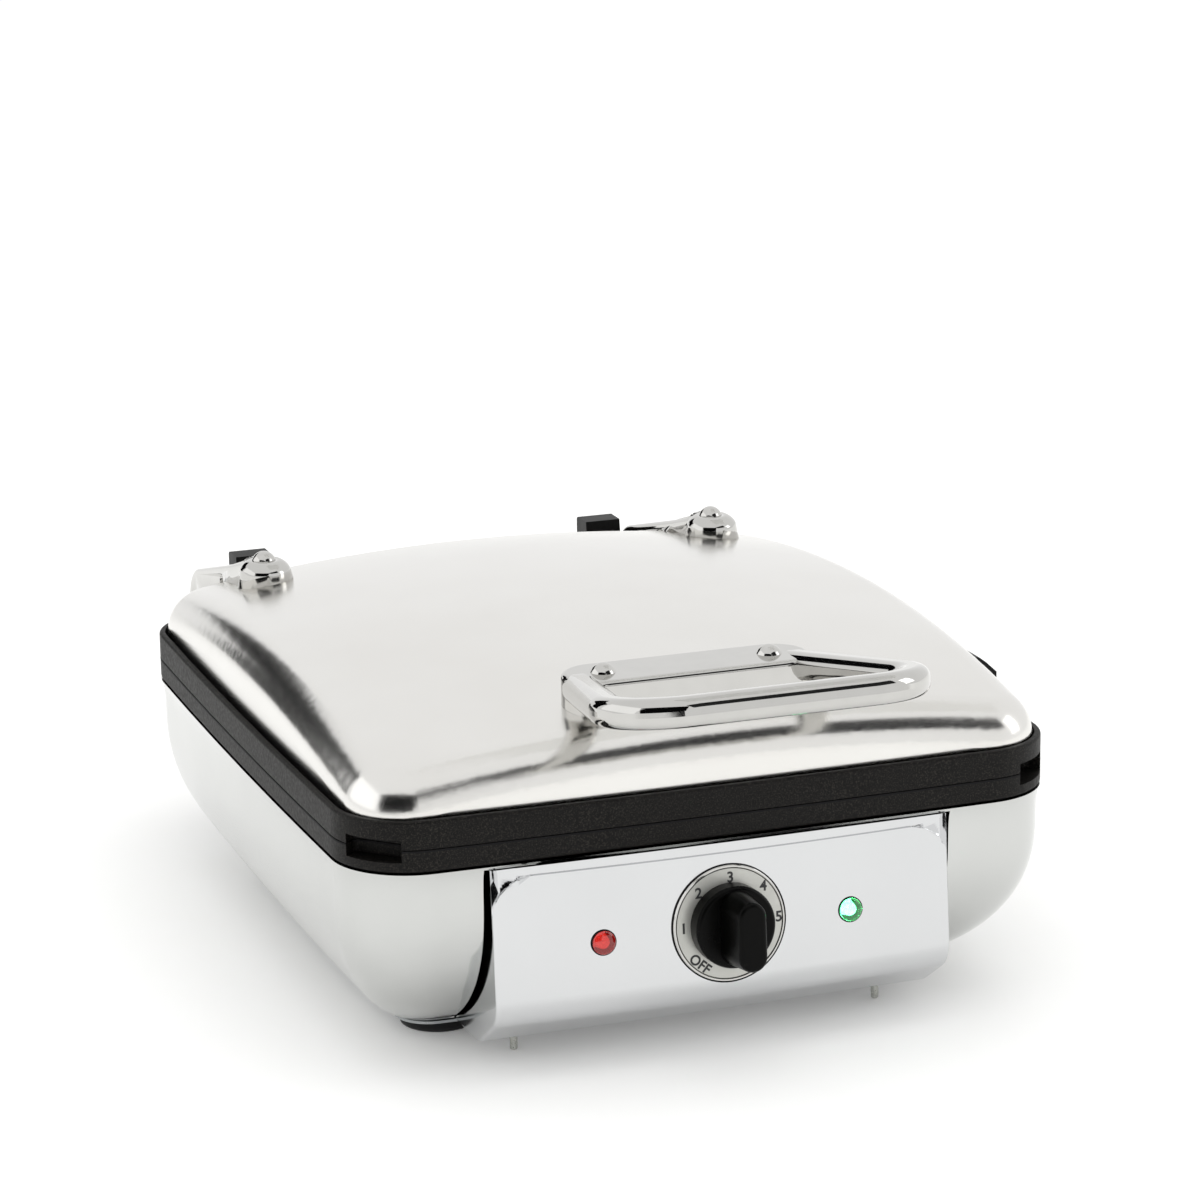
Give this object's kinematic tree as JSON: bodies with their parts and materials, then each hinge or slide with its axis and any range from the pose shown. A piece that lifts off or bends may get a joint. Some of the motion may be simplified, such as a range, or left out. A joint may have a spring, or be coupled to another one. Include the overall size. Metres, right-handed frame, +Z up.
{
  "type": "belgian waffle maker",
  "caption": "Countertop Belgian waffle maker with a domed hinged lid, loop handle, square moulds, front thermostat dial and a side storage latch.",
  "frame": {"origin": "on the ground under the middle of the cooking plates", "axes": "+X right seen from the front, the front faces -Y, +Z up"},
  "size_m": [0.3355, 0.4887, 0.178],
  "materials": {
    "polished_steel": "polished stainless sheet, bluish reflections",
    "polished_steel_panel": "polished stainless sheet with a soft grain",
    "satin_steel_dome": "fine satin polish",
    "polished_cast": "mirror polished casting",
    "rivet_steel": "polished rivet heads",
    "fastener_steel": "machined steel",
    "zinc_steel": "zinc plated sheet",
    "aluminised_sheet": "dull aluminised sheet",
    "element_sheath": "dark oxidised heater sheath",
    "nonstick_cast": "die-cast aluminium under a charcoal non-stick coating with a fine speckle",
    "bronze": "sintered bronze",
    "copper_sensor": "copper tube",
    "rubber": "matte black rubber",
    "knob_plastic": "fine matte moulded black",
    "black_plastic": "moulded black, slight texture",
    "case_plastic": "heat resistant moulding",
    "terminal_plastic": "ceramic-like terminal moulding",
    "dial_print": "satin grey plate with printed numbers and a dark ring",
    "red_lens": "clear red lens",
    "green_lens": "clear green lens, lit"
  },
  "bodies": {
    "base": {"base_shell": "polished_steel", "bottom_cover": "zinc_steel", "rubber_feet": "rubber", "foot_screws": "fastener_steel", "cover_screws": "fastener_steel", "control_panel": "polished_steel_panel", "panel_screws": "fastener_steel", "anti_tip_pins": "fastener_steel", "dial_plate": "dial_print", "thermostat": "case_plastic", "thermostat_bracket": "zinc_steel", "thermostat_screws": "fastener_steel", "sensor_bulb": "copper_sensor", "thermal_fuse": "case_plastic", "power_lamp_lens": "red_lens", "ready_lamp_lens": "green_lens", "lamp_bodies": "case_plastic", "lower_plate": "nonstick_cast", "lower_element": "element_sheath", "lower_element_clips": "zinc_steel", "lower_reflector": "aluminised_sheet", "lower_posts": "zinc_steel", "lower_post_screws": "fastener_steel", "terminal_block": "terminal_plastic", "cord_gland": "black_plastic", "rear_posts": "black_plastic", "hinge_brackets": "zinc_steel", "bracket_screws": "fastener_steel", "hinge_pins": "fastener_steel", "latch_bracket": "black_plastic", "latch_pin": "fastener_steel"},
    "lid": {"upper_plate": "nonstick_cast", "upper_element": "element_sheath", "upper_element_clips": "zinc_steel", "upper_reflector": "aluminised_sheet", "upper_posts": "zinc_steel", "lid_cover": "satin_steel_dome", "handle": "polished_cast", "handle_rivets": "rivet_steel", "hinge_arm_right": "polished_cast", "hinge_arm_left": "polished_cast", "hinge_rivets": "rivet_steel", "hinge_bushes": "bronze"},
    "knob": {"knob": "knob_plastic", "thermostat_shaft": "fastener_steel"},
    "latch": {"lid_latch": "black_plastic"}
  },
  "joints": [
    {"name": "lid_hinge", "type": "hinge", "parent": "base", "child": "lid", "pos_m": [0, 0.21005, 0.1075], "axis": [-1, 0, 0], "range_deg": [0, 100]},
    {"name": "thermostat_turn", "type": "hinge", "parent": "base", "child": "knob", "pos_m": [0, -0.1835, 0.0582], "axis": [0, -0.9969, 0.0785], "range_deg": [-90, 135]},
    {"name": "latch_swing", "type": "hinge", "parent": "base", "child": "latch", "pos_m": [0.168, -0.06, 0.0815], "axis": [0, 1, 0], "range_deg": [-7, 35]}
  ]
}
